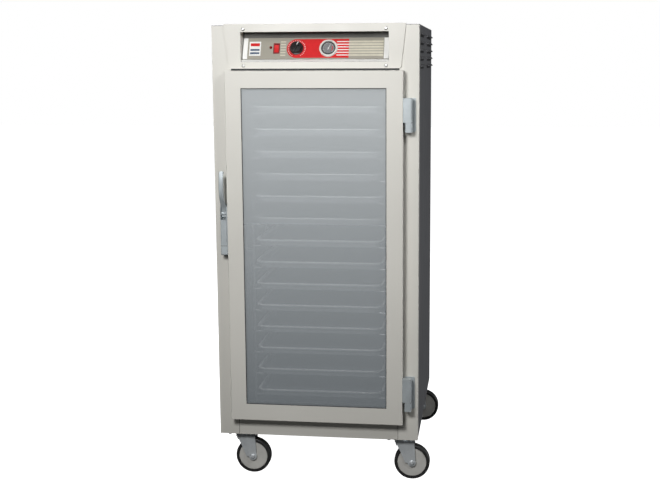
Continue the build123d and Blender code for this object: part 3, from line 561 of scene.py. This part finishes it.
def panel_graphics():
    """Red field, stripes, the knob's ticks and a plain card in place of the mark."""
    left_end = arc(KNOB_X, 0, FIELD_HALF, 90, 270)
    right_end = [(FIELD_END, -FIELD_HALF), (FIELD_END, FIELD_HALF)]
    printed("red_field", [left_end + right_end], 0, RED)
    printed("white_stripes", stripes(*WHITE_STRIPES), INK, WHITE)
    printed("cream_stripes", stripes(*CREAM_STRIPES), 0, CREAM)
    printed("short_stripes", stripes(*SHORT_STRIPES), 0, CREAM)
    ticks = []
    for i in range(KNOB_TICK_COUNT):
        angle = KNOB_TICK_START + KNOB_TICK_SWEEP * i / (KNOB_TICK_COUNT - 1)
        ticks.append(tick(KNOB_X, *KNOB_TICK_RADII, angle, KNOB_TICK_HALF))
    printed("knob_ticks", ticks, INK, WHITE)
    printed("data_card", [bar(*CARD_EDGES, -CARD_HALF, CARD_HALF)], 0, WHITE)
    printed("card_band_red", [bar(*BAND_EDGES, *RED_BAND)], INK, RED)
    bands = [bar(*BAND_EDGES, up, up + SLATE_BAND_HEIGHT) for up in SLATE_BANDS]
    printed("card_bands_slate", bands, INK, SLATE)


def thermometer_dial():
    """Dial face inside the thermometer's bowl, under its needle."""
    last = 360 * (DIAL_POINTS - 1) / DIAL_POINTS
    face = arc(DIAL_X, 0, DIAL_EDGE, 0, last, DIAL_POINTS - 1)
    printed("dial_face", [face], DIAL_FLOOR, GREY)
    eighths = range(0, 360, 45)
    ring = [sector(DIAL_X, 0, DIAL_RING, DIAL_EDGE, a, a + 45, 8) for a in eighths]
    printed("dial_ring", ring, DIAL_FLOOR + INK, BLACK)
    ticks = []
    for i in range(DIAL_TICK_COUNT):
        angle = DIAL_TICK_START + DIAL_TICK_SWEEP * i / (DIAL_TICK_COUNT - 1)
        inner = LONG_TICK_INNER if i % 3 == 0 else SHORT_TICK_INNER
        ticks.append(tick(DIAL_X, inner, DIAL_TICK_OUTER, angle, DIAL_TICK_HALF))
    printed("dial_ticks", ticks, DIAL_FLOOR + 2 * INK, WHITE)
    printed("dial_red_arc", [sector(DIAL_X, 0, *RED_ARC)], DIAL_FLOOR + INK, RED)


def control_knob():
    """Fluted knob with a raised grip bar, in place of the plain CAD one."""
    builder = bmesh.new()
    steps = FLUTES * FLUTE_STEPS
    rings = []
    for radius, out, depth in KNOB_RINGS:
        ring = []
        for i in range(steps):
            a = 2 * math.pi * i / steps
            r = radius - depth * (0.5 + 0.5 * math.cos(FLUTES * a)) ** 2
            point = on_panel(KNOB_X + r * math.cos(a), r * math.sin(a), out)
            ring.append(builder.verts.new(point))
        rings.append(ring)
    loft(builder, rings)
    knob = add_object(
        "fluted_knob", finish_mesh("fluted_knob", builder), "knob",
        MATERIALS["black_plastic"], smooth=True,
    )
    knob.data.set_sharp_from_angle(angle=SHARP_ANGLE)
    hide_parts("thermostat_knob")
    grip_bar()
    knob_pointer()


def on_knob(along, across, out):
    """A point along and across the knob's grip bar, in the row frame."""
    x = KNOB_X + across * math.cos(KNOB_TURN) - along * math.sin(KNOB_TURN)
    up = across * math.sin(KNOB_TURN) + along * math.cos(KNOB_TURN)
    return on_panel(x, up, out)


def grip_bar():
    """The knob's rounded grip bar."""
    builder = bmesh.new()
    rings = []
    for scale_l, scale_w, out in GRIP_LAYERS:
        ring = []
        half_w = GRIP_WIDTH / 2 * scale_w
        half_l = GRIP_LENGTH / 2 * scale_l - half_w
        for i in range(GRIP_STEPS):
            a = 2 * math.pi * (i + 0.5) / GRIP_STEPS
            along = math.copysign(half_l, math.sin(a)) + half_w * math.sin(a)
            ring.append(builder.verts.new(on_knob(along, half_w * math.cos(a), out)))
        rings.append(ring)
    loft(builder, rings)
    add_object(
        "knob_grip", finish_mesh("knob_grip", builder), "knob",
        MATERIALS["black_plastic"], smooth=True,
    )


def knob_pointer():
    """White line on the grip bar."""
    builder = bmesh.new()
    near, far = POINTER_ENDS
    half = POINTER_HALF
    corners = [(near, -half), (near, half), (far, half), (far, -half)]
    low, top = [[on_knob(*corner, out) for corner in corners] for out in POINTER_OUT]
    add_slab(builder, top, low)
    add_object("knob_pointer", finish_mesh("knob_pointer", builder), "knob", WHITE)


panel_graphics()
thermometer_dial()
control_knob()


# ---- Dark strips: painted shade, and dark lines on seams ----


def add_shade_and_seam_strips():
    """Dark strips that give the picture the photograph's tones.

    Those under the hood, over the panel and beside the sill stand in for shadow. Those at the
    hinge splits and the latch's cap lie on real seams, but are wider than them.
    """
    black = MATERIALS["gasket_rubber"]
    # A dark strip of painted shadow under the hood.
    add_boxes("hood_shadow_strip", [HOOD_STRIP], "cabinet", black)
    # A dark coat of painted shade over the panel's top flange.
    recess = painted("recess_painted_shade", (0.085, 0.083, 0.075), 0.6)
    add_boxes("recess_shade", [RECESS_STRIP], "cabinet", recess)
    # Dark strips of painted shade where the posts meet the sill.
    seams = []
    for x in (-SILL_STRIP_X, SILL_STRIP_X):
        low = (x - SILL_STRIP_HALF, SILL_STRIP_Y[0], SILL_STRIP_Z[0])
        high = (x + SILL_STRIP_HALF, SILL_STRIP_Y[1], SILL_STRIP_Z[1])
        seams.append((low, high))
    add_boxes("sill_seam_shadows", seams, "cabinet", black)
    washers = []
    for z in HINGE_SPLITS:
        split = (PIN_X, PIN_Y, z)
        washers.append([tuple(map(sum, zip(split, corner))) for corner in HINGE_STRIP])
    add_boxes("hinge_washers", washers, "cabinet", black)
    add_boxes("latch_seam", [CAP_STRIP], "door", black)


def add_louvre_strips():
    """Dark strip of painted shade on the skin below each louvre; there is no opening behind it."""
    strips = []
    for side in (-1, 1):
        x0, x1 = sorted(side * (SIDE_X + offset) for offset in LOUVRE_STRIP_X)
        for row in range(LOUVRE_ROWS):
            low, high = [LOUVRE_TOP - row * LOUVRE_PITCH + offset for offset in LOUVRE_STRIP_Z]
            for y0, y1 in LOUVRE_SPANS:
                strips.append(((x0, y0, low), (x1, y1, high)))
    under_louvre_shade = painted("louvre_painted_shade", (0.012, 0.012, 0.013), 0.7)
    add_boxes("louvre_shade_strips", strips, "cabinet", under_louvre_shade)


# ---- Stage ----


def add_floor():
    """A large pale floor that glows, so it shows no shadow, and throws no light on the object."""
    builder = bmesh.new()
    bmesh.ops.create_grid(builder, x_segments=4, y_segments=4, size=FLOOR_SIZE)
    mesh = bpy.data.meshes.new("floor")
    builder.to_mesh(mesh)
    builder.free()
    floor = bpy.data.objects.new("floor", mesh)
    scene.collection.objects.link(floor)
    glow = {"Emission_Color": (1, 1, 1, 1), "Emission_Strength": FLOOR_GLOW}
    surface = Material("floor_surface", 0.9, **glow)
    surface.colour((0.93, 0.93, 0.93), (0.90, 0.90, 0.90), surface.noise(3))
    mesh.materials.append(surface.data)
    floor.visible_diffuse = False
    floor.visible_glossy = False


def add_area_light(name, place, target, size, power, colour):
    light = bpy.data.lights.new(name, "AREA")
    light.shape = "RECTANGLE"
    light.size, light.size_y = size
    light.energy = power
    light.color = colour
    obj = bpy.data.objects.new(name, light)
    scene.collection.objects.link(obj)
    obj.location = place
    aim = Vector(target) - Vector(place)
    obj.rotation_euler = aim.to_track_quat("-Z", "Y").to_euler()


def add_world(strength):
    """White surroundings that the camera sees at full white and that light the object less."""
    world = bpy.data.worlds.new("surroundings")
    scene.world = world
    world.use_nodes = True
    tree = world.node_tree
    tree.nodes.clear()
    seen = tree.nodes.new("ShaderNodeBackground")
    lighting = tree.nodes.new("ShaderNodeBackground")
    path = tree.nodes.new("ShaderNodeLightPath")
    mix = tree.nodes.new("ShaderNodeMixShader")
    output = tree.nodes.new("ShaderNodeOutputWorld")
    seen.inputs["Color"].default_value = (1, 1, 1, 1)
    lighting.inputs["Color"].default_value = (0.97, 0.99, 1, 1)
    lighting.inputs["Strength"].default_value = strength
    tree.links.new(path.outputs["Is Camera Ray"], mix.inputs["Fac"])
    tree.links.new(lighting.outputs[0], mix.inputs[1])
    tree.links.new(seen.outputs[0], mix.inputs[2])
    tree.links.new(mix.outputs[0], output.inputs["Surface"])


add_shade_and_seam_strips()
add_louvre_strips()
add_floor()
for light_settings in LIGHTS:
    add_area_light(*light_settings)
add_world(WORLD_STRENGTH)
